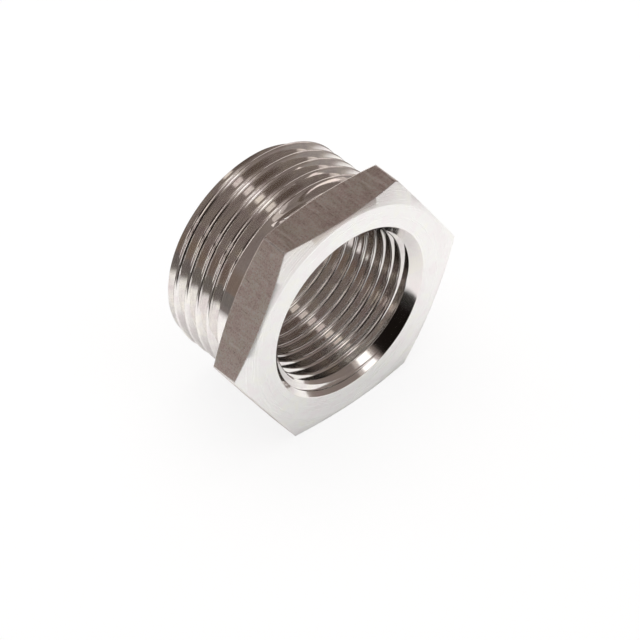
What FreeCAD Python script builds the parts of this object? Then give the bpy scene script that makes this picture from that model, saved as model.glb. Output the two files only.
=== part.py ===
import FreeCAD, Part
import math
import os

import Sketcher

from FreeCAD import Vector

# Hexagon reducing nipple, turned and milled from one bar of stainless steel:
# a male G 1 pipe thread outside the shank and a female G 3/4 pipe thread in the bore.
# It lies on a flat of its hexagon. Frame: +Z up, the thread axis along Y, the mouth of
# the bore at -Y and the threaded tip at +Y, two corners of the hexagon at +X and -X,
# the origin on the axis at half the length. Sizes are in millimetres and degrees.

PARTS_FOLDER = "parts"
NODE = "nipple_body"

# Driving sizes: alias, value, what it is
SIZES = (
    ("overall_length", 20.5, "hexagon face to threaded tip"),
    ("across_flats", 36.0, "spanner size of the hexagon"),
    ("hexagon_height", 6.4, "hexagon face to shoulder"),
    ("face_inset", 0.6, "flats to the turned circle of the face, as a radius"),
    ("face_bevel", 15.0, "turned bevel of the front corners, from the face"),
    ("shoulder_inset", 0.6, "flats to the turned circle of the shoulder, as a radius"),
    ("shoulder_bevel", 18.0, "turned bevel of the back corners, from the shoulder"),
    ("flank_angle", 27.5, "half of the 55 degrees between two flanks"),
    ("male_major", 33.249, "outside diameter of the shank and of the male thread"),
    ("male_pitch", 2.309, "male thread, 11 turns to the inch"),
    ("male_lead", 1.753, "start of the male groove ahead of the tip"),
    ("neck_length", 1.853, "shoulder to the middle of the last turn of the groove"),
    ("tip_bevel", 0.9, "bevel of 45 degrees round the tip"),
    ("female_minor", 24.117, "bore, at the crests of the female thread"),
    ("female_pitch", 1.814, "female thread, 14 turns to the inch"),
    ("female_lead", 0.453, "mouth to the middle of the first turn of the groove"),
    ("female_turns", 4, "turns of the inside thread that are cut, from the mouth"),
    ("mouth_flare", 0.58, "countersink of the mouth past the roots of the thread"),
    ("outlet_flare", 0.25, "countersink at the tip past the roots of the thread"),
    ("thread_depth", 0.640327, "depth of a thread as a share of its pitch"),
    ("thread_flat", 0.166667, "flat of a crest or a root as a share of its pitch"),
    ("overcut", 0.4, "how far a cutting outline stands clear of what it cuts"),
    ("seam_lag", 2.0, "seam of the shank behind the end of its groove, as an angle"),
)

# The shank is drawn as this many arcs, so that a land of its thread is several short faces
SHANK_ARCS = 6

# The male groove runs this far along the axis, and stops short of the plain neck
GROOVE_TRAVEL = (
    "(sizes.overall_length - sizes.hexagon_height - sizes.neck_length + sizes.male_lead)"
)


def add_sheet(doc):
    """The driving sizes in one sheet, a row and an alias to each."""
    sheet = doc.addObject("Spreadsheet::Sheet", "sizes")
    for row, (alias, value, note) in enumerate(SIZES, start=1):
        sheet.set(f"A{row}", alias)
        sheet.set(f"B{row}", str(value))
        sheet.set(f"C{row}", note)
        sheet.setAlias(f"B{row}", alias)
    doc.recompute()


def add_sketch(body, name, role, axis, shift):
    """A sketch on an origin plane of the body, moved along one axis of the sketch."""
    plane = next(item for item in body.Origin.OriginFeatures if item.Role == role)
    sketch = body.newObject("Sketcher::SketchObject", name)
    sketch.AttachmentSupport = [(plane, "")]
    sketch.MapMode = "FlatFace"
    sketch.setExpression(f".AttachmentOffset.Base.{axis}", shift)
    return sketch


def bind(sketch, name, expression, kind, *place):
    """One sized constraint, named and tied to the sheet."""
    index = sketch.addConstraint(Sketcher.Constraint(kind, *place, 1.0))
    sketch.renameConstraint(index, name)
    sketch.setExpression(f"Constraints.{name}", expression)


def join_ends(sketch, count):
    """Close a ring of edges, the end of each on the start of the next."""
    for index in range(count):
        following = (index + 1) % count
        sketch.addConstraint(Sketcher.Constraint("Coincident", index, 2, following, 1))


def draw_outline(sketch, corners):
    """A closed outline of lines. Each corner has a name, an axial place and a radius."""
    count = len(corners)
    for index in range(count):
        here = Vector(index, index % 2, 0)
        there = Vector((index + 1) % count, (index + 1) % 2, 0)
        sketch.addGeometry(Part.LineSegment(here, there), False)
    join_ends(sketch, count)
    for index, (name, axial, radial) in enumerate(corners):
        bind(sketch, f"{name}_axial", axial, "DistanceX", index, 1)
        bind(sketch, f"{name}_radial", radial, "DistanceY", index, 1)


def draw_hexagon(sketch, half_width):
    """A hexagon round the origin with flats at the top and bottom, half_width from it."""
    turn = math.pi / 3
    corners = [Vector(math.cos(turn * i), math.sin(turn * i), 0) * 20 for i in range(6)]
    for index in range(6):
        edge = Part.LineSegment(corners[index], corners[(index + 1) % 6])
        sketch.addGeometry(edge, False)
    ring = sketch.addGeometry(Part.Circle(Vector(0, 0, 0), Vector(0, 0, 1), 20), True)
    join_ends(sketch, 6)
    sketch.addConstraint(Sketcher.Constraint("Coincident", ring, 3, -1, 1))
    for index in range(6):
        sketch.addConstraint(Sketcher.Constraint("PointOnObject", index, 1, ring))
    for index in range(1, 6):
        sketch.addConstraint(Sketcher.Constraint("Equal", 0, index))
    sketch.addConstraint(Sketcher.Constraint("Horizontal", 1))
    bind(sketch, "flat", half_width, "DistanceY", 1, 1)


def draw_ring_of_arcs(sketch, radius, count):
    """A circle round the origin, drawn as equal arcs that start on the horizontal axis."""
    sweep = 2 * math.pi / count
    circle = Part.Circle(Vector(0, 0, 0), Vector(0, 0, 1), 10)
    for index in range(count):
        arc = Part.ArcOfCircle(circle, sweep * index, sweep * (index + 1))
        sketch.addGeometry(arc, False)
        sketch.addConstraint(Sketcher.Constraint("Coincident", index, 3, -1, 1))
    join_ends(sketch, count)
    sketch.addConstraint(Sketcher.Constraint("PointOnObject", 0, 1, -1))
    for index in range(1, count):
        sketch.addConstraint(Sketcher.Constraint("Angle", index, sweep))
    bind(sketch, "radius", radius, "Radius", 0)


def draw_thread_groove(sketch, land_radius, pitch, outward):
    """The section of one turn of a 55 degree groove, centred on the sketch's own origin.

    It opens at land_radius and goes in towards the axis, or out from it for a bore.
    """
    depth = f"{pitch} * sizes.thread_depth"
    root = f"{pitch} * sizes.thread_flat / 2"
    slope = "tan(sizes.flank_angle * 1 deg)"
    half_root = f"({root})"
    half_open = f"({root} + ({depth} + sizes.overcut) * {slope})"
    way, back = ("+", "-") if outward else ("-", "+")
    opening = f"{land_radius} {back} sizes.overcut"
    bottom = f"{land_radius} {way} {depth}"
    corners = (
        ("open_near", f"-{half_open}", opening),
        ("open_far", half_open, opening),
        ("root_far", half_root, bottom),
        ("root_near", f"-{half_root}", bottom),
    )
    draw_outline(sketch, corners)


def add_groove(body, name, sketch):
    """Turn an outline once round the axis and take it off."""
    groove = body.newObject("PartDesign::Groove", name)
    groove.Profile = sketch
    groove.ReferenceAxis = (sketch, ["H_Axis"])
    groove.Angle = 360
    groove.Refine = False
    return groove


def add_hexagon(body):
    """The hexagon head, with the turned bevels across its corners."""
    sketch = add_sketch(
        body, "hexagon_outline", "XZ_Plane", "z", "sizes.overall_length / 2 - sizes.hexagon_height"
    )
    draw_hexagon(sketch, "sizes.across_flats / 2")
    pad = body.newObject("PartDesign::Pad", "hexagon")
    pad.Profile = sketch
    pad.setExpression("Length", "sizes.hexagon_height")
    pad.Refine = False

    rim = "sizes.across_flats / sqrt(3) + sizes.overcut"
    circle = "sizes.across_flats / 2 - sizes.face_inset"
    fall = f"({rim} - ({circle})) * tan(sizes.face_bevel * 1 deg)"
    sketch = add_sketch(body, "face_bevel_outline", "YZ_Plane", "x", "-sizes.overall_length / 2")
    corners = (
        ("circle", "0", circle),
        ("ahead", "-sizes.overcut", circle),
        ("above", "-sizes.overcut", rim),
        ("rim", fall, rim),
    )
    draw_outline(sketch, corners)
    add_groove(body, "face_bevel_cut", sketch)

    circle = "sizes.across_flats / 2 - sizes.shoulder_inset"
    fall = f"({rim} - ({circle})) * tan(sizes.shoulder_bevel * 1 deg)"
    shift = "sizes.hexagon_height - sizes.overall_length / 2"
    sketch = add_sketch(body, "shoulder_bevel_outline", "YZ_Plane", "x", shift)
    corners = (
        ("circle", "0", circle),
        ("behind", "sizes.overcut", circle),
        ("above", "sizes.overcut", rim),
        ("rim", f"-({fall})", rim),
    )
    draw_outline(sketch, corners)
    add_groove(body, "shoulder_bevel_cut", sketch)


def add_shank(body):
    """The plain shank from the shoulder to the tip, bevelled round the tip."""
    shift = "sizes.overall_length / 2 - sizes.hexagon_height"
    sketch = add_sketch(body, "shank_outline", "XZ_Plane", "z", shift)
    draw_ring_of_arcs(sketch, "sizes.male_major / 2", SHANK_ARCS)
    groove_end = f"90 + 360 * {GROOVE_TRAVEL} / sizes.male_pitch"
    seam = f"mod({groove_end} - sizes.seam_lag; 360) * 1 deg"
    sketch.setExpression(".AttachmentOffset.Rotation.Angle", seam)
    pad = body.newObject("PartDesign::Pad", "shank")
    pad.Profile = sketch
    pad.setExpression("Length", "sizes.overall_length - sizes.hexagon_height")
    pad.Reversed = True
    pad.Refine = False

    radius = "sizes.male_major / 2"
    sketch = add_sketch(body, "tip_bevel_outline", "YZ_Plane", "x", "sizes.overall_length / 2")
    corners = (
        ("edge", "0", f"{radius} - sizes.tip_bevel"),
        ("beyond", "sizes.overcut", f"{radius} - sizes.tip_bevel"),
        ("above", "sizes.overcut", f"{radius} + sizes.overcut"),
        ("side", "-sizes.tip_bevel - sizes.overcut", f"{radius} + sizes.overcut"),
    )
    draw_outline(sketch, corners)
    add_groove(body, "tip_bevel_cut", sketch)


def add_bore(body):
    """The bore from end to end, with a countersink of 90 degrees at each end."""
    sketch = add_sketch(body, "bore_outline", "XZ_Plane", "z", "sizes.overall_length / 2")
    sketch.addGeometry(Part.Circle(Vector(0, 0, 0), Vector(0, 0, 1), 10), False)
    sketch.addConstraint(Sketcher.Constraint("Coincident", 0, 3, -1, 1))
    bind(sketch, "radius", "sizes.female_minor / 2", "Radius", 0)
    bore = body.newObject("PartDesign::Pocket", "bore")
    bore.Profile = sketch
    bore.setExpression("Length", "sizes.overall_length")
    bore.Refine = False

    inner = "sizes.female_minor / 2 - sizes.overcut"
    roots = "sizes.female_minor / 2 + sizes.female_pitch * sizes.thread_depth"
    ends = (("mouth", "-", "-", ""), ("outlet", "+", "", "-"))
    for name, side, ahead, inwards in ends:
        shift = f"{side}sizes.overall_length / 2"
        edge = f"{roots} + sizes.{name}_flare"
        sketch = add_sketch(body, f"{name}_outline", "YZ_Plane", "x", shift)
        corners = (
            ("edge", "0", edge),
            ("outside", f"{ahead}sizes.overcut", edge),
            ("middle", f"{ahead}sizes.overcut", inner),
            ("deep", f"{inwards}({edge} - ({inner}))", inner),
        )
        draw_outline(sketch, corners)
        add_groove(body, f"{name}_cut", sketch)


def add_male_thread(body):
    """A right-hand helical groove from ahead of the tip to the plain neck at the shoulder."""
    shift = "sizes.overall_length / 2 + sizes.male_lead"
    sketch = add_sketch(body, "male_groove_outline", "YZ_Plane", "x", shift)
    draw_thread_groove(sketch, "sizes.male_major / 2", "sizes.male_pitch", False)
    thread = body.newObject("PartDesign::SubtractiveHelix", "male_thread")
    thread.Profile = sketch
    thread.ReferenceAxis = (sketch, ["H_Axis"])
    thread.Mode = "pitch-height-angle"
    thread.setExpression("Pitch", "sizes.male_pitch")
    thread.setExpression("Height", GROOVE_TRAVEL)
    thread.Reversed = True
    thread.LeftHanded = False
    thread.Refine = False


def add_female_thread(doc, body):
    """The first turns of the inside thread, as rings of its true section and pitch."""
    shift = "sizes.female_lead - sizes.overall_length / 2"
    sketch = add_sketch(body, "female_groove_outline", "YZ_Plane", "x", shift)
    draw_thread_groove(sketch, "sizes.female_minor / 2", "sizes.female_pitch", True)
    groove = add_groove(body, "female_groove", sketch)
    doc.recompute()
    turns = body.newObject("PartDesign::LinearPattern", "female_thread")
    turns.Originals = [groove]
    turns.Direction = (sketch, ["H_Axis"])
    turns.Mode = "Spacing"
    turns.setExpression("Offset", "sizes.female_pitch")
    turns.setExpression("Occurrences", "round(sizes.female_turns)")
    turns.Refine = False
    body.Tip = turns


def check_document(doc):
    """Stop on any failed object, and on any cut or added form that changes nothing."""
    for item in doc.Objects:
        if "Invalid" in item.State or "Error" in item.State:
            raise RuntimeError(f"{item.Name} failed: {item.State}")
    before = None
    for item in doc.Objects:
        if not item.isDerivedFrom("PartDesign::Feature"):
            continue
        volume = item.Shape.Volume
        if before is not None and abs(volume - before) < 0.01:
            raise RuntimeError(f"{item.Name} changes nothing")
        before = volume


def check_solid(body):
    """One valid solid is what the bar is turned to."""
    shape = body.Shape
    if shape.isNull() or not shape.isValid() or len(shape.Solids) != 1:
        raise RuntimeError(f"{body.Label} is not one valid solid")


doc = FreeCAD.newDocument("reducing_nipple")
add_sheet(doc)
nipple = doc.addObject("PartDesign::Body", NODE)
nipple.Label = NODE
add_hexagon(nipple)
add_shank(nipple)
add_bore(nipple)
doc.recompute()
add_male_thread(nipple)
add_female_thread(doc, nipple)
doc.recompute()
check_document(doc)
check_solid(nipple)

os.makedirs(PARTS_FOLDER, exist_ok=True)
nipple.Shape.exportStep(os.path.join(PARTS_FOLDER, f"{nipple.Label}.step"))
print(nipple.Label, "volume", round(nipple.Shape.Volume, 1), "faces", len(nipple.Shape.Faces))
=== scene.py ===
import math

import bmesh
import bpy
from bpy.props import FloatProperty, FloatVectorProperty, IntProperty, PointerProperty
from mathutils import Matrix, Vector


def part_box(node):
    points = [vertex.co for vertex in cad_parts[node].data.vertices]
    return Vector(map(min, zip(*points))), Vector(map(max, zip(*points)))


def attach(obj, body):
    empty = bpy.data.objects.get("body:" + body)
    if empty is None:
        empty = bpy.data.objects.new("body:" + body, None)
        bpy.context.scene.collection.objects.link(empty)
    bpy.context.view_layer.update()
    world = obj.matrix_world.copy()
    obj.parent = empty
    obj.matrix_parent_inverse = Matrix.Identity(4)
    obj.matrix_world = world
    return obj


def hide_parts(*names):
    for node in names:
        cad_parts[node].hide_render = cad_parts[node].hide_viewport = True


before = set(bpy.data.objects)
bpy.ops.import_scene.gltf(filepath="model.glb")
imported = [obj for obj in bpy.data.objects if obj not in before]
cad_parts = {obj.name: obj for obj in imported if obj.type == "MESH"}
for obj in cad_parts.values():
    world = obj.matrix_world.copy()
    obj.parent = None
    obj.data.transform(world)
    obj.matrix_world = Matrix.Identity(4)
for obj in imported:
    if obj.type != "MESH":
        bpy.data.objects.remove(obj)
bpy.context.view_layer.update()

# A hexagon reducing nipple in bare stainless steel, lying on a flat of its hexagon.
# The axis of both threads is Y, the hexagon's face looks towards -Y and the tip is at +Y.
# Lengths are in metres, and angles round the axis run from +X towards +Z.

bl_info = {
    "name": "Reducing nipple",
    "version": (1, 0, 0),
    "blender": (4, 5, 0),
    "location": "View3D > Sidebar > Nipple",
    "description": "Builds a hexagon reducing nipple with its threads, its finish and its studio",
    "category": "Object",
}

PIECE = "reducing_nipple"
NODE = "nipple_body"
SOLID_LOW, SOLID_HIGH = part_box(NODE)
MM = 0.001
# Points closer together than this are one point.
WELD = 1e-7
FULL_TURN = 2 * math.pi
TURN_DEGREES = 360


# Sizes and settings


class HexagonSizes(bpy.types.PropertyGroup):
    across_flats: FloatProperty(
        name="Across flats", description="Distance between opposite flats of the hexagon",
        default=36.0 * MM, unit="LENGTH", precision=5)
    face_place: FloatProperty(
        name="Face", description="Place of the hexagon's front face along the axis",
        default=-10.25 * MM, unit="LENGTH", precision=5)
    shoulder_place: FloatProperty(
        name="Shoulder", description="Place of the hexagon's back face along the axis",
        default=-3.85 * MM, unit="LENGTH", precision=5)
    circle_radius: FloatProperty(
        name="Turned circle", description="Radius at which the bevels of both ends start",
        default=17.4 * MM, unit="LENGTH", precision=5)
    front_bevel: FloatProperty(
        name="Front bevel", description="Slope of the bevel round the front face",
        default=math.radians(15.0), subtype="ANGLE")
    back_bevel: FloatProperty(
        name="Back bevel", description="Slope of the bevel round the shoulder",
        default=math.radians(18.0), subtype="ANGLE")
    corner_rounding: FloatProperty(
        name="Corner rounding", description="Width of the worn strip on the hexagon's corners",
        default=0.3 * MM, unit="LENGTH", precision=6)
    front_edge: FloatProperty(
        name="Front edge", description="Width of the broken edge between the flats and the front bevel",
        default=0.08 * MM, unit="LENGTH", precision=6)
    back_edge: FloatProperty(
        name="Back edge", description="Width of the broken edge between the flats and the back bevel",
        default=0.16 * MM, unit="LENGTH", precision=6)
    neck_fillet: FloatProperty(
        name="Neck fillet", description="Radius in the corner between the neck and the shoulder",
        default=0.25 * MM, unit="LENGTH", precision=6)
    spin_steps: IntProperty(
        name="Spin steps", description="Divisions of a turned surface", default=360, min=36)


class OutsideThread(bpy.types.PropertyGroup):
    crest_radius: FloatProperty(
        name="Crest radius", description="Radius over the crests of the outside thread",
        default=16.6245 * MM, unit="LENGTH", precision=6)
    pitch: FloatProperty(
        name="Pitch", description="Distance between turns of the outside thread",
        default=2.309 * MM, unit="LENGTH", precision=6)
    first_crest: FloatProperty(
        name="First crest", description="Place along the axis of the traced crest, at angle zero",
        default=-7.0462 * MM, unit="LENGTH", precision=6)
    turns: IntProperty(
        name="Turns", description="Turns that are swept before the ends are trimmed", default=8)
    steps: IntProperty(
        name="Steps", description="Divisions of one turn", default=240, min=36)
    runout_end: FloatProperty(
        name="Run-out end", description="Angle along the groove, towards the neck, at which it ends",
        default=math.radians(833.0), subtype="ANGLE")
    runout_length: FloatProperty(
        name="Run-out length", description="Angle over which the groove gets shallow",
        default=math.radians(34.0), subtype="ANGLE")
    tip_bevel: FloatProperty(
        name="Tip bevel", description="Width of the bevel at the threaded tip",
        default=0.9 * MM, unit="LENGTH", precision=6)


class InsideThread(bpy.types.PropertyGroup):
    crest_radius: FloatProperty(
        name="Crest radius", description="Radius inside the crests of the inside thread",
        default=12.0585 * MM, unit="LENGTH", precision=6)
    pitch: FloatProperty(
        name="Pitch", description="Distance between turns of the inside thread",
        default=1.814 * MM, unit="LENGTH", precision=6)
    first_crest: FloatProperty(
        name="First crest", description="Place along the axis of the traced crest, at angle zero",
        default=-12.8064 * MM, unit="LENGTH", precision=6)
    turns: IntProperty(
        name="Turns", description="Turns that are swept before the ends are trimmed", default=14)
    steps: IntProperty(
        name="Steps", description="Divisions of one turn", default=200, min=36)
    mouth_radius: FloatProperty(
        name="Mouth radius", description="Radius of the countersink at the front face",
        default=13.8 * MM, unit="LENGTH", precision=6)
    outlet_radius: FloatProperty(
        name="Outlet radius", description="Radius of the countersink at the threaded tip",
        default=13.47 * MM, unit="LENGTH", precision=6)
    rim_rounding: FloatProperty(
        name="Rim rounding", description="Radius of the broken edge round the mouth",
        default=0.2 * MM, unit="LENGTH", precision=6)


class SteelFinish(bpy.types.PropertyGroup):
    colour: FloatVectorProperty(
        name="Colour", description="Colour of the clean steel", subtype="COLOR",
        size=3, min=0.0, max=1.0, default=(0.86, 0.845, 0.83))
    face_roughness: FloatProperty(
        name="Face roughness", description="Roughness of the turned faces",
        default=0.3, min=0.0, max=1.0, subtype="FACTOR")
    flat_roughness: FloatProperty(
        name="Flat roughness", description="Roughness of the milled flats",
        default=0.34, min=0.0, max=1.0, subtype="FACTOR")
    thread_roughness: FloatProperty(
        name="Thread roughness", description="Roughness of the cut threads",
        default=0.08, min=0.0, max=1.0, subtype="FACTOR")
    turned_roughness: FloatProperty(
        name="Turned roughness", description="Roughness of the shoulder, the tip and the countersinks",
        default=0.1, min=0.0, max=1.0, subtype="FACTOR")
    flat_colour: FloatVectorProperty(
        name="Flat colour", description="Colour of the milled flats", subtype="COLOR",
        size=3, min=0.0, max=1.0, default=(0.98, 0.9, 0.87))


class StudioSettings(bpy.types.PropertyGroup):
    aim: FloatVectorProperty(
        name="Aim", description="Point that the camera looks at", subtype="TRANSLATION", size=3,
        default=(-3.3987 * MM, -7.6991 * MM, -0.9085 * MM))
    azimuth: FloatProperty(
        name="Azimuth", description="Camera's angle round the upright axis, from the front",
        default=math.radians(-39.9274), subtype="ANGLE")
    elevation: FloatProperty(
        name="Elevation", description="Camera's angle above the floor",
        default=math.radians(45.0403), subtype="ANGLE")
    roll: FloatProperty(
        name="Roll", description="Camera's turn about its own line of sight",
        default=math.radians(-2.9863), subtype="ANGLE")
    distance: FloatProperty(
        name="Distance", description="From the camera to the point that it looks at",
        default=857.459 * MM, unit="LENGTH")
    lens: FloatProperty(
        name="Lens", description="Focal length in millimetres on a 36 mm sensor", default=346.2356)
    floor_size: FloatProperty(
        name="Floor size", description="Radius of the round floor", default=3.0, unit="LENGTH")
    sheet_radius: FloatProperty(
        name="Sheet radius", description="How far the white sheet shows in the metal",
        default=0.1, unit="LENGTH")
    # The table's colour is painted light, a glow that only the metal's reflections show.
    painted_table_colour: FloatVectorProperty(
        name="Table colour", description="What the metal shows beyond the white sheet",
        subtype="COLOR", size=3, min=0.0, max=1.0, default=(0.42, 0.37, 0.345))
    room_colour: FloatVectorProperty(
        name="Room colour", description="What the metal shows of the room",
        subtype="COLOR", size=3, min=0.0, max=1.0, default=(0.22, 0.18, 0.163))
    dark_colour: FloatVectorProperty(
        name="Dark side", description="What the metal shows of the room below the camera",
        subtype="COLOR", size=3, min=0.0, max=1.0, default=(0.008, 0.006, 0.005))


# Modelling helpers


def deselect_all():
    if bpy.context.object is not None and bpy.context.object.mode != "OBJECT":
        bpy.ops.object.mode_set(mode="OBJECT")
    bpy.ops.object.select_all(action="DESELECT")


def pick(piece):
    deselect_all()
    piece.select_set(True)
    bpy.context.view_layer.objects.active = piece


def edit(piece, select="SELECT"):
    pick(piece)
    bpy.ops.object.mode_set(mode="EDIT")
    bpy.ops.mesh.select_mode(type="VERT")
    bpy.ops.mesh.select_all(action=select)


def leave_edit():
    bpy.ops.object.mode_set(mode="OBJECT")


def apply_modifier(piece, kind, **settings):
    pick(piece)
    bpy.ops.object.modifier_add(type=kind)
    modifier = piece.modifiers[-1]
    for name, value in settings.items():
        setattr(modifier, name, value)
    bpy.ops.object.modifier_apply(modifier=modifier.name)


def trace_line(name, points):
    """A line through points (radius, place along the axis), drawn by extruding one vertex."""
    deselect_all()
    bpy.ops.mesh.primitive_plane_add(size=MM, location=(0, 0, 0))
    piece = bpy.context.object
    piece.name = name
    piece.data.name = name
    edit(piece)
    bpy.ops.mesh.merge(type="CENTER")
    bpy.ops.transform.translate(value=(points[0][0], points[0][1], 0))
    for (r0, y0), (r1, y1) in zip(points, points[1:]):
        bpy.ops.mesh.extrude_region_move(TRANSFORM_OT_translate={"value": (r1 - r0, y1 - y0, 0)})
    leave_edit()
    return piece


def turn_solid(name, points, steps):
    """A solid of revolution about the axis. The outline starts and ends on the axis."""
    piece = trace_line(name, points)
    edit(piece)
    bpy.ops.mesh.spin(steps=steps, angle=FULL_TURN, center=(0, 0, 0), axis=(0, 1, 0))
    bpy.ops.mesh.select_all(action="SELECT")
    bpy.ops.mesh.remove_doubles(threshold=WELD)
    bpy.ops.mesh.normals_make_consistent(inside=False)
    leave_edit()
    return piece


def sweep_thread(name, section, turns, steps, pitch):
    """One traced pitch of a thread, swept along a right-hand helix."""
    piece = trace_line(name, section)
    apply_modifier(
        piece, "SCREW", axis="Y", angle=FULL_TURN, screw_offset=pitch, iterations=turns,
        steps=steps, render_steps=steps, use_merge_vertices=True, merge_threshold=WELD)
    edit(piece)
    bpy.ops.mesh.remove_doubles(threshold=WELD)
    leave_edit()
    return piece


def trim_ends(piece, low, high):
    """Square cuts at both ends of a swept thread, each closed by a face."""
    for place, way in ((low, -1), (high, 1)):
        edit(piece)
        bpy.ops.mesh.bisect(
            plane_co=(0, place, 0), plane_no=(0, way, 0), use_fill=True, clear_outer=True,
            threshold=WELD)
        leave_edit()
    edit(piece)
    bpy.ops.mesh.normals_make_consistent(inside=False)
    leave_edit()


def combine(piece, tool, operation):
    """Adds a second solid to the piece or takes it away, and then removes the second solid."""
    apply_modifier(
        piece, "BOOLEAN", object=tool, operation=operation, solver="MANIFOLD",
        material_mode="TRANSFER")
    bpy.data.objects.remove(tool)


def give_material(piece, material):
    piece.data.materials.clear()
    piece.data.materials.append(material)


def arc(centre, radius, start, end, pieces):
    """Points (radius from the axis, place) along an arc. Angles are in degrees from outwards."""
    points = []
    for i in range(pieces + 1):
        angle = math.radians(start + (end - start) * i / pieces)
        points.append((centre[0] + radius * math.cos(angle), centre[1] + radius * math.sin(angle)))
    return points


# The thread form

# The rounded 55 degree form: the slope of its flanks in degrees, then its depth and the radius of
# its crests and roots as shares of the pitch.
FLANK_ANGLE = 27.5
FORM_DEPTH = 0.640327
FORM_ROUNDING = 0.137329
# Divisions of half a crest, half a root and a flank.
CREST_PIECES = 5
ROOT_PIECES = 4
FLANK_PIECES = 3
# The grooves are numbered from the first traced crest. The angle along them is counted from the
# start of this one towards the neck.
START_GROOVE = 4


def thread_section(crest_radius, first_crest, pitch, outward):
    """One pitch from crest to crest. Outward is 1 for an outside thread and -1 for an inside one."""
    depth = FORM_DEPTH * pitch
    rounding = FORM_ROUNDING * pitch
    reach = 90.0 - FLANK_ANGLE
    crest = []
    for i in range(CREST_PIECES + 1):
        angle = math.radians(reach * i / CREST_PIECES)
        crest.append((rounding * math.sin(angle), rounding * (math.cos(angle) - 1)))
    root = []
    for i in range(ROOT_PIECES + 1):
        angle = math.radians(reach * (1 - i / ROOT_PIECES))
        root.append((pitch / 2 - rounding * math.sin(angle), rounding * (1 - math.cos(angle)) - depth))
    half = list(crest)
    for i in range(1, FLANK_PIECES):
        t = i / FLANK_PIECES
        half.append((
            crest[-1][0] + (root[0][0] - crest[-1][0]) * t,
            crest[-1][1] + (root[0][1] - crest[-1][1]) * t))
    half += root
    whole = half + [(pitch - along, out) for along, out in reversed(half[:-1])]
    return [(crest_radius + outward * out, first_crest + along) for along, out in whole]


def fade_groove(piece, thread):
    """The groove of the outside thread gets shallow towards the neck, and ends there."""
    crest = thread.crest_radius
    for vertex in piece.data.vertices:
        x, y, z = vertex.co
        radius = math.hypot(x, z)
        angle = math.atan2(z, x) % FULL_TURN
        groove = math.floor((y - thread.first_crest) / thread.pitch + angle / FULL_TURN)
        along = angle + FULL_TURN * (START_GROOVE - groove)
        fade = (along - thread.runout_end + thread.runout_length) / thread.runout_length
        fade = min(max(fade, 0.0), 1.0)
        new_radius = crest - (crest - radius) * (1.0 - fade)
        vertex.co = (x * new_radius / radius, y, z * new_radius / radius)


# Materials

# Fineness of the tool marks across the radius, along the axis and round it, per metre.
FACED = (7000.0, 0.0, 90.0)
TURNED = (7000.0, 3000.0, 90.0)
CUT = (0.0, 6000.0, 90.0)
DRAWN = (0.0, 320.0, 4200.0)

# Each finish's tool marks, how high they stand in metres, and how strong its clouds, its streaks
# and its specks are.
MARKS = {
    "faced_steel": (FACED, 0.06e-6, 0.005, 0.02, 0.02),
    "bevelled_steel": (TURNED, 0.05e-6, 0.01, 0.02, 0.03),
    "turned_steel": (TURNED, 0.2e-6, 0.02, 0.1, 0.05),
    "milled_steel": (DRAWN, 1.3e-6, 0.07, 0.5, 1.3),
    "worn_steel": (DRAWN, 3.0e-6, 0.05, 1.6, 1.0),
    "threaded_steel": (CUT, 0.15e-6, 0.04, 0.3, 0.3),
    "tapped_steel": (CUT, 0.15e-6, 0.04, 0.3, 0.3),
}

# The turned front face and its bevel are brighter and cooler than the clean steel: painted light,
# standing in for the white floor that they mirror. The inside thread is darker: painted shade inside
# the bore.
FACE_PAINTED_LIGHT_TINT = (1.03, 1.06, 1.07)
BORE_PAINTED_SHADE = 0.95
WORN_ROUGHNESS = 0.5

# Each noise's fineness per metre, its detail, its roughness and its distortion. The lines' fineness
# is one, because it comes from the tool marks.
LINE_NOISE = (1.0, 4.0, 0.62, 0.0)
CLOUD_NOISE = (420.0, 3.0, 0.55, 0.4)
SPECK_NOISE = (4200.0, 3.0, 0.7, 0.0)
GRAIN_NOISE = (9000.0, 2.0, 0.6, 0.0)
GRAIN_SHARE = 0.25

# The noise at which the clouds are rosy, plain and yellow, and the tints of the rosy and yellow ones.
CLOUD_STOPS = (0.35, 0.5, 0.65)
ROSY = (1.0, 0.97, 0.985)
YELLOW = (1.0, 1.0, 0.965)

# Between these two noises of the lines, the roughness runs from the first share to the second.
ROUGHNESS_NOISE = (0.3, 0.7)
ROUGHNESS_SHARES = (0.8, 1.25)


def new_material(name):
    material = bpy.data.materials.new(name)
    material.use_nodes = True
    material.node_tree.nodes.clear()
    return material


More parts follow.
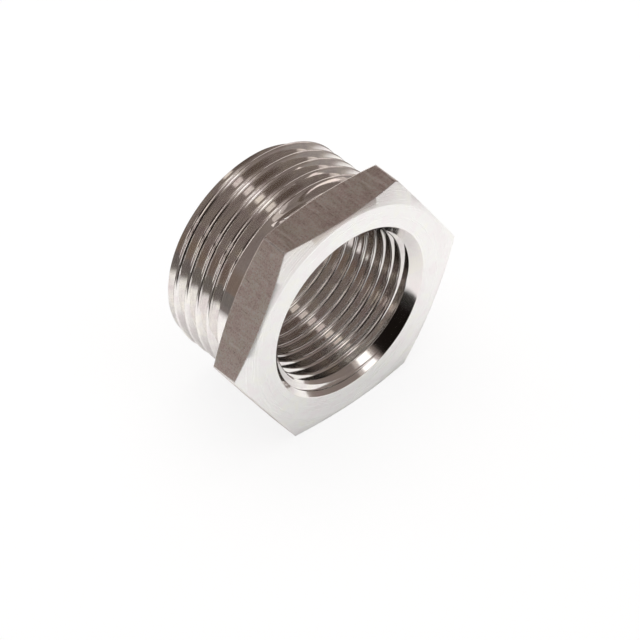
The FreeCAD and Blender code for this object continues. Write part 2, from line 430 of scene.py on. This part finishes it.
class Tree:
    """Short ways to add and join nodes."""

    def __init__(self, tree):
        self.tree = tree

    def node(self, kind, **settings):
        node = self.tree.nodes.new(kind)
        for name, value in settings.items():
            setattr(node, name, value)
        return node

    def join(self, source, target):
        self.tree.links.new(source, target)

    def math(self, operation, first, second=None):
        node = self.node("ShaderNodeMath", operation=operation)
        for socket, value in zip(node.inputs, (first, second)):
            if value is None:
                continue
            if isinstance(value, (int, float)):
                socket.default_value = value
            else:
                self.join(value, socket)
        return node.outputs[0]

    def noise(self, vector, scale, detail, roughness, distortion):
        node = self.node("ShaderNodeTexNoise", noise_dimensions="3D")
        node.inputs["Scale"].default_value = scale
        node.inputs["Detail"].default_value = detail
        node.inputs["Roughness"].default_value = roughness
        node.inputs["Distortion"].default_value = distortion
        self.join(vector, node.inputs["Vector"])
        return node.outputs["Fac"]

    def remap(self, value, low, high, new_low, new_high):
        node = self.node("ShaderNodeMapRange")
        node.inputs["From Min"].default_value = low
        node.inputs["From Max"].default_value = high
        node.inputs["To Min"].default_value = new_low
        node.inputs["To Max"].default_value = new_high
        self.join(value, node.inputs["Value"])
        return node.outputs["Result"]

    def ramp(self, value, stops):
        node = self.node("ShaderNodeValToRGB")
        band = node.color_ramp
        band.elements[0].position = stops[0][0]
        band.elements[0].color = (*stops[0][1], 1)
        band.elements[1].position = stops[-1][0]
        band.elements[1].color = (*stops[-1][1], 1)
        for place, colour in stops[1:-1]:
            element = band.elements.new(place)
            element.color = (*colour, 1)
        self.join(value, node.inputs["Fac"])
        return node.outputs["Color"]

    def by_direction(self, turn, table, colour):
        """A colour whose strength follows a table of degrees and shares, over one full turn."""
        stops = [(degrees / TURN_DEGREES, tint(colour, share)) for degrees, share in table]
        return self.ramp(turn, stops)


def tint(colour, amount):
    """The colour made brighter or darker, up to white."""
    return tuple(min(1.0, c * amount) for c in colour)


def tint_each(colour, amounts):
    """The colour with an amount for each of its channels."""
    return tuple(c * amount for c, amount in zip(colour, amounts))


def steel(name, colour, roughness, lines, marks, clouds, streaks, specks):
    """Steel with fine tool marks along the cut, and faint clouds, streaks and specks of colour.

    Lines is the fineness of the marks across the radius, along the axis and round it, per metre.
    """
    material = new_material(name)
    tree = Tree(material.node_tree)
    place = tree.node("ShaderNodeTexCoord").outputs["Object"]
    parts = tree.node("ShaderNodeSeparateXYZ")
    tree.join(place, parts.inputs[0])
    squares = tree.math("ADD", tree.math("POWER", parts.outputs["X"], 2.0),
                        tree.math("POWER", parts.outputs["Z"], 2.0))
    radius = tree.math("SQRT", squares)
    across = tree.math("ADD", tree.math("MULTIPLY", parts.outputs["Y"], lines[1]),
                       tree.math("MULTIPLY", radius, lines[0]))
    lined = tree.node("ShaderNodeCombineXYZ")
    tree.join(tree.math("MULTIPLY", parts.outputs["X"], lines[2]), lined.inputs["X"])
    tree.join(across, lined.inputs["Y"])
    tree.join(tree.math("MULTIPLY", parts.outputs["Z"], lines[2]), lined.inputs["Z"])
    line_noise = tree.noise(lined.outputs[0], *LINE_NOISE)
    cloud = tree.noise(place, *CLOUD_NOISE)
    speck = tree.noise(place, *SPECK_NOISE)
    grain = tree.noise(place, *GRAIN_NOISE)
    shader = tree.node("ShaderNodeBsdfPrincipled")
    shader.inputs["Metallic"].default_value = 1.0
    rosy = tint(tint_each(colour, ROSY), 1.0 - clouds)
    yellow = tint(tint_each(colour, YELLOW), 1.0 + clouds)
    stops = tuple(zip(CLOUD_STOPS, (rosy, colour, yellow)))
    uneven = tree.math("ADD", tree.math("MULTIPLY", line_noise, streaks),
                       tree.math("MULTIPLY", speck, specks))
    # Noise stays round one half, so that the shade stays round one.
    shade = tree.math("ADD", uneven, 1.0 - (streaks + specks) / 2)
    soiled = tree.node("ShaderNodeMix", data_type="RGBA", blend_type="MULTIPLY")
    soiled.inputs["Factor"].default_value = 1.0
    tree.join(tree.ramp(cloud, stops), soiled.inputs["A"])
    tree.join(shade, soiled.inputs["B"])
    tree.join(soiled.outputs["Result"], shader.inputs["Base Color"])
    smooth, rough = (roughness * share for share in ROUGHNESS_SHARES)
    tree.join(tree.remap(line_noise, *ROUGHNESS_NOISE, smooth, rough), shader.inputs["Roughness"])
    height = tree.math("ADD", line_noise, tree.math("MULTIPLY", grain, GRAIN_SHARE))
    bump = tree.node("ShaderNodeBump")
    bump.inputs["Strength"].default_value = 1.0
    bump.inputs["Distance"].default_value = marks
    tree.join(height, bump.inputs["Height"])
    tree.join(bump.outputs[0], shader.inputs["Normal"])
    output = tree.node("ShaderNodeOutputMaterial")
    tree.join(shader.outputs[0], output.inputs["Surface"])
    return material


def finishes(scene):
    """The finishes of the one steel, each made once."""
    finish = scene.nipple_finish
    bright = tuple(finish.colour)
    # The front face and its bevel get a brighter, cooler copy of the steel: painted light.
    face = tint_each(bright, FACE_PAINTED_LIGHT_TINT)
    looks = {
        "faced_steel": (face, finish.face_roughness),
        "bevelled_steel": (face, finish.face_roughness),
        "turned_steel": (bright, finish.turned_roughness),
        "milled_steel": (tuple(finish.flat_colour), finish.flat_roughness),
        "worn_steel": (bright, WORN_ROUGHNESS),
        "threaded_steel": (bright, finish.thread_roughness),
        # The inside thread is the clean steel darkened: painted shade inside the bore.
        "tapped_steel": (tint(bright, BORE_PAINTED_SHADE), finish.thread_roughness),
    }
    made = {}
    for name, (colour, roughness) in looks.items():
        made[name] = bpy.data.materials.get(name)
        if made[name] is None:
            made[name] = steel(name, colour, roughness, *MARKS[name])
    return made


# The piece

# How far the swept shank reaches into the head and past the tip, and how far the cutters of the
# bore reach past its ends.
SHANK_IN_HEAD = 0.1 * MM
SHANK_PAST_TIP = 0.3 * MM
CUTTER_PAST_END = 0.2 * MM
# How deep in the head the bar that trims the shank starts, how far it clears the crests, and how
# wide the outer ring of its flat end is, with the bevel.
BAR_IN_HEAD = 1.0 * MM
BAR_CLEARANCE = 0.05 * MM
TIP_RING = 3.5 * MM

SIDES = 6
# How far the turned blank of the head reaches past its corners.
BLANK_ALLOWANCE = 0.4 * MM
# Radius at which the blank's front face is divided. The countersink cuts this circle away.
FACE_CENTRE = 13.0 * MM
# The blank ends inside the neck, this far under its surface and past its fillet, whose reach is a
# multiple of its radius.
NECK_INSET = 0.02 * MM
FILLET_REACH = 1.15
FILLET_PIECES = 5

# The head's material slots.
HEAD_FINISHES = ("faced_steel", "bevelled_steel", "milled_steel", "turned_steel", "worn_steel")
FACE, BEVEL, FLAT, SHOULDER, CORNER = range(len(HEAD_FINISHES))
# How far a flat's normal may lean along the axis, and the share of one that counts as nearly whole.
SQUARE = 0.01
NEARLY = 0.99
# Turned faces belong to the shoulder from this far in front of it.
SHOULDER_DEPTH = 1.5 * MM
# Two flats meet at a corner if they turn by more than this, in radians.
CORNER_TURN = 0.5

# Both countersinks are cut at 45 degrees down to this radius, inside the crests.
COUNTERSINK_END = 11.6 * MM
COUNTERSINK_SLOPE = 45
# In front of the face the mouth's cutter flares out at this slope, over this width.
FLARE_SLOPE = math.radians(5.6)
FLARE_WIDTH = 0.3 * MM
RIM_PIECES = 4

# Faces that meet at less than this are shaded as one.
SMOOTH_ANGLE = math.radians(32)


class NIPPLE_OT_shank(bpy.types.Operator):
    """Cut the outside thread on the shank, with its run-out and the bevel of its tip"""

    bl_idname = "nipple.shank"
    bl_label = "Threaded shank"

    def execute(self, context):
        scene = context.scene
        thread = scene.nipple_outside
        head = scene.nipple_hexagon
        tip = SOLID_HIGH[1]
        section = thread_section(thread.crest_radius, thread.first_crest, thread.pitch, 1)
        shank = sweep_thread(PIECE, section, thread.turns, thread.steps, thread.pitch)
        fade_groove(shank, thread)
        trim_ends(shank, head.shoulder_place - SHANK_IN_HEAD, tip + SHANK_PAST_TIP)
        give_material(shank, finishes(scene)["threaded_steel"])
        bar_radius = thread.crest_radius + BAR_CLEARANCE
        bar_start = head.shoulder_place - BAR_IN_HEAD
        bar_points = [
            (0, bar_start),
            (bar_radius, bar_start),
            (bar_radius, tip - thread.tip_bevel - BAR_CLEARANCE),
            (thread.crest_radius - thread.tip_bevel, tip),
            (thread.crest_radius - TIP_RING, tip),
            (0, tip)]
        bar = turn_solid("bevelled_bar", bar_points, head.spin_steps)
        give_material(bar, finishes(scene)["turned_steel"])
        combine(shank, bar, "INTERSECT")
        return {"FINISHED"}


class NIPPLE_OT_head(bpy.types.Operator):
    """Turn the head, mill its six flats, break its edges and join it to the shank"""

    bl_idname = "nipple.head"
    bl_label = "Hexagon head"

    def execute(self, context):
        scene = context.scene
        size = scene.nipple_hexagon
        shank = bpy.data.objects[PIECE]
        to_corner = math.cos(math.radians(TURN_DEGREES / SIDES / 2))
        outside = size.across_flats / 2 / to_corner + BLANK_ALLOWANCE
        rise = outside - size.circle_radius
        front = size.face_place
        back = size.shoulder_place
        neck = scene.nipple_outside.crest_radius
        rounding = size.neck_fillet
        end_of_fillet = (neck - NECK_INSET, back + rounding * FILLET_REACH)
        points = [(0, front), (FACE_CENTRE, front), (size.circle_radius, front),
                  (outside, front + rise * math.tan(size.front_bevel)),
                  (outside, back - rise * math.tan(size.back_bevel)),
                  (size.circle_radius, back)]
        points += arc((neck + rounding, back + rounding), rounding, -90, -180, FILLET_PIECES)
        points += [end_of_fillet, (0, end_of_fillet[1])]
        head = turn_solid("hexagon_head", points, size.spin_steps)
        made = finishes(scene)
        head.data.materials.clear()
        for name in HEAD_FINISHES:
            head.data.materials.append(made[name])
        self.mill_flats(head, size)
        self.sort_faces(head, size)
        self.break_edges(head, size)
        combine(shank, head, "UNION")
        return {"FINISHED"}

    def mill_flats(self, head, size):
        half = size.across_flats / 2
        step = TURN_DEGREES / SIDES
        for i in range(SIDES):
            angle = math.radians(step / 2 + step * i)
            way = Vector((math.cos(angle), 0, math.sin(angle)))
            edit(head)
            bpy.ops.mesh.bisect(
                plane_co=way * half, plane_no=way, use_fill=True, clear_outer=True, threshold=WELD)
            leave_edit()

    def sort_faces(self, head, size):
        """Each face gets the finish of the flats, the shoulder, the front bevel or the front face."""
        for face in head.data.polygons:
            along = abs(face.normal.y)
            radius = math.hypot(face.center.x, face.center.z)
            if along < SQUARE and radius > size.circle_radius * NEARLY:
                face.material_index = FLAT
            elif face.center.y > size.shoulder_place - SHOULDER_DEPTH:
                face.material_index = SHOULDER
            elif along < NEARLY:
                face.material_index = BEVEL
            else:
                face.material_index = FACE

    def break_edges(self, head, size):
        """Worn corners between the flats first, then the edges towards the front and the back."""
        middle = (size.face_place + size.shoulder_place) / 2
        rows = (
            ("corners", size.corner_rounding, 3, CORNER),
            ("front", size.front_edge, 2, BEVEL),
            ("back", size.back_edge, 3, SHOULDER))
        for place, width, pieces, index in rows:
            edit(head, "DESELECT")
            bpy.ops.mesh.select_mode(type="EDGE")
            mesh = bmesh.from_edit_mesh(head.data)
            for edge in mesh.edges:
                if len(edge.link_faces) != 2:
                    continue
                kinds = [face.material_index for face in edge.link_faces]
                turned = edge.link_faces[0].normal.angle(edge.link_faces[1].normal, 0.0)
                at = (edge.verts[0].co.y + edge.verts[1].co.y) / 2
                if place == "corners":
                    edge.select_set(kinds == [FLAT, FLAT] and turned > CORNER_TURN)
                else:
                    outer = [kind in (FLAT, CORNER) for kind in kinds]
                    edge.select_set(outer.count(True) == 1 and (at > middle) == (place == "back"))
            bmesh.update_edit_mesh(head.data)
            bpy.ops.mesh.bevel(
                offset=width, offset_type="OFFSET", segments=pieces, profile=0.5, affect="EDGES",
                clamp_overlap=True, material=index)
            leave_edit()


class NIPPLE_OT_bore(bpy.types.Operator):
    """Cut the inside thread right through, with the countersinks of both ends"""

    bl_idname = "nipple.bore"
    bl_label = "Threaded bore"

    def execute(self, context):
        scene = context.scene
        thread = scene.nipple_inside
        steps = scene.nipple_hexagon.spin_steps
        front = scene.nipple_hexagon.face_place
        tip = SOLID_HIGH[1]
        piece = bpy.data.objects[PIECE]
        made = finishes(scene)
        section = thread_section(thread.crest_radius, thread.first_crest, thread.pitch, -1)
        tap = sweep_thread("tap", section, thread.turns, thread.steps, thread.pitch)
        trim_ends(tap, front - CUTTER_PAST_END, tip + CUTTER_PAST_END)
        give_material(tap, made["tapped_steel"])
        combine(piece, tap, "DIFFERENCE")
        deep = thread.mouth_radius - COUNTERSINK_END
        rounding = thread.rim_rounding
        tangent = rounding * math.tan(math.radians(COUNTERSINK_SLOPE / 2))
        middle = (thread.mouth_radius + tangent, front + rounding)
        edge = arc(middle, rounding, -90, -90 - COUNTERSINK_SLOPE, RIM_PIECES)
        start = (edge[0][0] + FLARE_WIDTH, edge[0][1] - FLARE_WIDTH * math.tan(FLARE_SLOPE))
        mouth_points = [(0, start[1]), start] + edge
        mouth_points += [(thread.mouth_radius - deep, front + deep), (0, front + deep)]
        mouth = turn_solid("mouth_cutter", mouth_points, steps)
        give_material(mouth, made["turned_steel"])
        combine(piece, mouth, "DIFFERENCE")
        deep = thread.outlet_radius - COUNTERSINK_END
        outlet_points = [
            (0, tip - deep), (thread.outlet_radius - deep, tip - deep),
            (thread.outlet_radius + CUTTER_PAST_END, tip + CUTTER_PAST_END), (0, tip + CUTTER_PAST_END)]
        outlet = turn_solid("outlet_cutter", outlet_points, steps)
        give_material(outlet, made["turned_steel"])
        combine(piece, outlet, "DIFFERENCE")
        return {"FINISHED"}


class NIPPLE_OT_finish(bpy.types.Operator):
    """Shade the piece, keep its edges crisp and put it in the place of the source's solid"""

    bl_idname = "nipple.finish"
    bl_label = "Edges and shading"

    def execute(self, context):
        piece = bpy.data.objects[PIECE]
        edit(piece)
        bpy.ops.mesh.remove_doubles(threshold=WELD)
        bpy.ops.mesh.normals_make_consistent(inside=False)
        leave_edit()
        pick(piece)
        bpy.ops.object.shade_smooth_by_angle(angle=SMOOTH_ANGLE)
        mesh = bmesh.new()
        mesh.from_mesh(piece.data)
        open_edges = [edge for edge in mesh.edges if len(edge.link_faces) != 2]
        if open_edges:
            raise RuntimeError(f"the piece has {len(open_edges)} open edges")
        for edge in mesh.edges:
            first, second = edge.link_faces
            if first.material_index != second.material_index:
                edge.smooth = False
        mesh.to_mesh(piece.data)
        mesh.free()
        apply_modifier(piece, "WEIGHTED_NORMAL", mode="FACE_AREA", weight=50, keep_sharp=True)
        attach(piece, "root")
        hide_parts(NODE)
        return {"FINISHED"}


# The studio

# Distance of every lamp from the object.
LAMP_DISTANCE = 0.6

# What the metal sees of the floor, by direction in degrees from +X towards +Y: how far the white sheet
# reaches, as a share of its radius, and how bright the table is close by and far away. The table glows
# with painted light: painted reflections of lamps where it is bright, and painted shade where it is
# dark. Behind the object the sheet reaches short, for a painted shadow of the object.
SHEET_REACH_AND_PAINTED_SHADOW = (
    (0, 0.9), (25, 0.6), (40, 0.26), (120, 0.26), (135, 0.55), (150, 0.75), (165, 0.85), (185, 0.85),
    (204, 0.5), (246, 0.5), (256, 1.2), (300, 1.2), (325, 0.95), (360, 0.9))
NEAR_TABLE_PAINTED_LIGHT = (
    (0, 0.8), (30, 0.5), (45, 0.4), (122, 0.4), (140, 0.5), (190, 0.5), (204, 0.05), (246, 0.05),
    (256, 1.5), (310, 1.5), (360, 0.8))
FAR_TABLE_PAINTED_LIGHT = (
    (0, 0.95), (35, 1.3), (70, 0.75), (92, 1.8), (124, 1.8), (134, 0.6), (146, 0.4), (190, 0.4),
    (205, 0.3), (218, 0.05), (262, 0.05), (270, 1.5), (298, 1.9), (305, 0.6), (360, 0.95))

# The sheet fades out between these shares of its reach, and the near table gives way to the far
# one between these multiples of the sheet's radius.
SHEET_FADE = (0.8, 1.15)
TABLE_FADE = (1.0, 1.3)
# A ramp holds colours up to one, so it holds the sheet's reach at half its size.
HALF = 0.5

# The floor's colour, and how much of its white is glow, as the camera and the metal see it.
FLOOR_SHADE = 0.9
CAMERA_GLOW = 0.85
MIRRORED_GLOW = 0.2

# Brightness of the room by the height of the direction, from level to straight up.
ROOM_HEIGHTS = ((0.0, 1.2), (0.3, 1.0), (0.75, 0.9), (1.0, 1.2))

# What the metal sees of the room: direction of a dark place, how far it is wholly dark, where it
# ends, all in degrees, and its brightness as a multiple of the dark colour.
DARK_PLACES = (
    (236, 12, 29.5, 34.0, 1.0),
    (214, 42, 22.0, 28.0, 3.0),
    (54, 44, 8.0, 22.0, 15.0),
    (147, 8, 6.0, 14.0, 24.0))

WHITE = (1.0, 1.0, 1.0)
WARM = (1.0, 0.92, 0.88)

# Each lamp's direction and the angles that it fills, all in degrees, its brightness, its colour,
# and whether the metal shows it.
LAMPS = (
    ("floor_light", 60, 84, 70, 70, 2.35, WHITE, False),
    ("front_core", 279, 36, 13, 26, 0.95, WHITE, True),
    ("front_wide", 280, 46, 22, 56, 0.25, WARM, True),
    ("left_core", 180, 9, 12, 20, 1.4, WHITE, True),
    ("left_low", 167, 23, 13, 10, 1.1, WARM, True),
    ("left_high", 174, 38, 13, 10, 0.8, WARM, True),
    ("top_back", 82, 58, 10, 8, 0.65, WARM, True),
    ("top_front", 277, 68, 10, 20, 0.9, WHITE, True),
    ("back_core", 80, 7, 12, 14, 1.3, WHITE, True),
    ("back_wide", 84, 22, 14, 22, 0.5, WARM, True),
    ("back_left", 106, 17, 22, 20, 1.5, WARM, True),
    ("right_core", 10, 6, 26, 13, 0.36, WARM, True),
    ("right_wide", 354, 14, 20, 26, 0.3, WARM, True),
    ("back_glow", 42, 13, 44, 18, 0.95, WARM, True),
    ("ceiling", 20, 86, 30, 30, 0.3, WARM, True))

# The camera's sensor in millimetres, and the distances between which it sees, in metres.
SENSOR_WIDTH = 36.0
NEAR_END = 0.01
FAR_END = 10.0


def direction(azimuth, elevation):
    """A unit vector. The azimuth runs from +X towards +Y, both angles are in degrees."""
    a = math.radians(azimuth)
    e = math.radians(elevation)
    return Vector((math.cos(a) * math.cos(e), math.sin(a) * math.cos(e), math.sin(e)))


class NIPPLE_OT_stage(bpy.types.Operator):
    """Set up the floor, the lights and the camera"""

    bl_idname = "nipple.stage"
    bl_label = "Stage"

    def execute(self, context):
        scene = context.scene
        settings = scene.nipple_studio
        self.add_floor(settings)
        self.add_world(scene, settings)
        for row in LAMPS:
            self.add_lamp(*row)
        self.add_camera(scene, settings)
        scene.view_settings.view_transform = "Standard"
        return {"FINISHED"}

    def add_floor(self, settings):
        deselect_all()
        bpy.ops.mesh.primitive_circle_add(
            vertices=96, radius=settings.floor_size, fill_type="NGON",
            location=(0, 0, SOLID_LOW[2]))
        floor = bpy.context.object
        floor.name = "floor"
        bpy.ops.object.transform_apply(location=True, rotation=True, scale=True)
        material = new_material("white_floor_and_painted_table")
        tree = Tree(material.node_tree)
        plain = tree.node("ShaderNodeBsdfDiffuse")
        plain.inputs["Color"].default_value = (FLOOR_SHADE, FLOOR_SHADE, FLOOR_SHADE, 1)
        glow = tree.node("ShaderNodeEmission")
        glow.inputs["Color"].default_value = (*WHITE, 1)
        glow.inputs["Strength"].default_value = 1.0
        rays = tree.node("ShaderNodeLightPath")
        mirrored = tree.math("ADD", rays.outputs["Is Glossy Ray"], rays.outputs["Is Transmission Ray"])
        share = tree.math("ADD", tree.math("MULTIPLY", rays.outputs["Is Camera Ray"], CAMERA_GLOW),
                          tree.math("MULTIPLY", mirrored, MIRRORED_GLOW))
        sheet = tree.node("ShaderNodeMixShader")
        tree.join(share, sheet.inputs[0])
        tree.join(plain.outputs[0], sheet.inputs[1])
        tree.join(glow.outputs[0], sheet.inputs[2])
        parts = tree.node("ShaderNodeSeparateXYZ")
        tree.join(tree.node("ShaderNodeTexCoord").outputs["Object"], parts.inputs[0])
        # Beyond the sheet the metal shows the table, which glows with painted light: painted
        # reflections of lamps on some sides and painted shade on others.
        turn = tree.math("ARCTAN2", parts.outputs["Y"], parts.outputs["X"])
        turn = tree.math("FRACT", tree.math("ADD", tree.math("DIVIDE", turn, FULL_TURN), 1.0))
        squares = tree.math("ADD", tree.math("POWER", parts.outputs["X"], 2.0),
                            tree.math("POWER", parts.outputs["Y"], 2.0))
        reach = tree.math("DIVIDE", tree.math("SQRT", squares), settings.sheet_radius)
        colour = tuple(settings.painted_table_colour)
        painted_table_shades = tree.node("ShaderNodeMix", data_type="RGBA")
        tree.join(tree.remap(reach, *TABLE_FADE, 0.0, 1.0), painted_table_shades.inputs["Factor"])
        tree.join(tree.by_direction(turn, NEAR_TABLE_PAINTED_LIGHT, colour), painted_table_shades.inputs["A"])
        tree.join(tree.by_direction(turn, FAR_TABLE_PAINTED_LIGHT, colour), painted_table_shades.inputs["B"])
        # The table's glow, seen only in reflections, is painted light and painted shade.
        table = tree.node("ShaderNodeEmission")
        tree.join(painted_table_shades.outputs["Result"], table.inputs["Color"])
        sheet_and_painted_shadow_edge = tree.by_direction(turn, SHEET_REACH_AND_PAINTED_SHADOW, (HALF, HALF, HALF))
        start, end = (share / HALF for share in SHEET_FADE)
        beyond = tree.remap(tree.math("DIVIDE", reach, sheet_and_painted_shadow_edge), start, end, 0.0, 1.0)
        mix = tree.node("ShaderNodeMixShader")
        tree.join(tree.math("MULTIPLY", beyond, rays.outputs["Is Glossy Ray"]), mix.inputs[0])
        tree.join(sheet.outputs[0], mix.inputs[1])
        tree.join(table.outputs[0], mix.inputs[2])
        output = tree.node("ShaderNodeOutputMaterial")
        tree.join(mix.outputs[0], output.inputs["Surface"])
        floor.data.materials.append(material)

    def add_world(self, scene, settings):
        """White behind the object, and a dim warm room in its reflections, darkest by the camera."""
        world = bpy.data.worlds.new("studio")
        world.use_nodes = True
        scene.world = world
        world.node_tree.nodes.clear()
        tree = Tree(world.node_tree)
        way = tree.node("ShaderNodeTexCoord").outputs["Generated"]
        parts = tree.node("ShaderNodeSeparateXYZ")
        tree.join(way, parts.inputs[0])
        stops = [(height, tint(settings.room_colour, share)) for height, share in ROOM_HEIGHTS]
        shade = tree.ramp(parts.outputs["Z"], stops)
        for azimuth, elevation, inner, outer, share in DARK_PLACES:
            toward = tree.node("ShaderNodeVectorMath", operation="DOT_PRODUCT")
            tree.join(way, toward.inputs[0])
            toward.inputs[1].default_value = direction(azimuth, elevation)
            edges = (math.cos(math.radians(outer)), math.cos(math.radians(inner)))
            shading = tree.node("ShaderNodeMix", data_type="RGBA")
            tree.join(tree.remap(toward.outputs["Value"], *edges, 0.0, 1.0), shading.inputs["Factor"])
            tree.join(shade, shading.inputs["A"])
            shading.inputs["B"].default_value = (*tint(settings.dark_colour, share), 1)
            shade = shading.outputs["Result"]
        dim = tree.node("ShaderNodeBackground")
        tree.join(shade, dim.inputs["Color"])
        white = tree.node("ShaderNodeBackground")
        white.inputs["Color"].default_value = (*WHITE, 1)
        mix = tree.node("ShaderNodeMixShader")
        tree.join(tree.node("ShaderNodeLightPath").outputs["Is Camera Ray"], mix.inputs[0])
        tree.join(dim.outputs[0], mix.inputs[1])
        tree.join(white.outputs[0], mix.inputs[2])
        output = tree.node("ShaderNodeOutputWorld")
        tree.join(mix.outputs[0], output.inputs["Surface"])

    def add_lamp(self, name, azimuth, elevation, width, height, brightness, colour, glossy):
        """A panel that faces the object. Its width and height are the angles that it fills."""
        deselect_all()
        way = direction(azimuth, elevation)
        bpy.ops.object.light_add(type="AREA", location=way * LAMP_DISTANCE)
        lamp = bpy.context.object
        lamp.name = name
        lamp.data.shape = "RECTANGLE"
        lamp.data.size = 2 * LAMP_DISTANCE * math.tan(math.radians(width / 2))
        lamp.data.size_y = 2 * LAMP_DISTANCE * math.tan(math.radians(height / 2))
        lamp.data.energy = brightness * math.pi * lamp.data.size * lamp.data.size_y
        lamp.data.color = colour
        side = Vector((-math.sin(math.radians(azimuth)), math.cos(math.radians(azimuth)), 0))
        axes = Matrix((side, way.cross(side), way)).transposed().to_4x4()
        lamp.matrix_world = Matrix.Translation(way * LAMP_DISTANCE) @ axes
        lamp.visible_glossy = glossy
        lamp.visible_camera = False

    def add_camera(self, scene, settings):
        deselect_all()
        azimuth = settings.azimuth
        elevation = settings.elevation
        back = Vector((
            math.sin(azimuth) * math.cos(elevation),
            -math.cos(azimuth) * math.cos(elevation),
            math.sin(elevation)))
        right = Vector((0, 0, 1)).cross(back).normalized()
        up = back.cross(right)
        turn = Matrix.Rotation(settings.roll, 3, back)
        right = turn @ right
        up = turn @ up
        aim = Vector(settings.aim)
        place = aim + back * settings.distance
        bpy.ops.object.camera_add(location=place)
        camera = bpy.context.object
        axes = Matrix((right, up, back)).transposed().to_4x4()
        camera.matrix_world = Matrix.Translation(place) @ axes
        camera.data.sensor_fit = "HORIZONTAL"
        camera.data.sensor_width = SENSOR_WIDTH
        camera.data.lens = settings.lens
        camera.data.clip_start = NEAR_END
        camera.data.clip_end = FAR_END
        scene.camera = camera


class NIPPLE_PT_panel(bpy.types.Panel):
    """Lists the steps that build the nipple and its studio"""

    bl_idname = "NIPPLE_PT_panel"
    bl_label = "Reducing nipple"
    bl_space_type = "VIEW_3D"
    bl_region_type = "UI"
    bl_category = "Nipple"

    def draw(self, context):
        for step in STEPS:
            self.layout.operator(step.bl_idname)
        for name in GROUPS:
            group = getattr(context.scene, name)
            box = self.layout.box()
            for prop in group.bl_rna.properties:
                if prop.identifier not in ("rna_type", "name"):
                    box.prop(group, prop.identifier)


STEPS = (NIPPLE_OT_shank, NIPPLE_OT_head, NIPPLE_OT_bore, NIPPLE_OT_finish, NIPPLE_OT_stage)
GROUPS = {
    "nipple_hexagon": HexagonSizes,
    "nipple_outside": OutsideThread,
    "nipple_inside": InsideThread,
    "nipple_finish": SteelFinish,
    "nipple_studio": StudioSettings,
}
CLASSES = (*GROUPS.values(), *STEPS, NIPPLE_PT_panel)


def register():
    for item in CLASSES:
        bpy.utils.register_class(item)
    for name, group in GROUPS.items():
        setattr(bpy.types.Scene, name, PointerProperty(type=group))


def unregister():
    for name in GROUPS:
        delattr(bpy.types.Scene, name)
    for item in reversed(CLASSES):
        bpy.utils.unregister_class(item)


def main():
    register()
    bpy.ops.nipple.shank()
    bpy.ops.nipple.head()
    bpy.ops.nipple.bore()
    bpy.ops.nipple.finish()
    bpy.ops.nipple.stage()


if __name__ == "__main__":
    main()
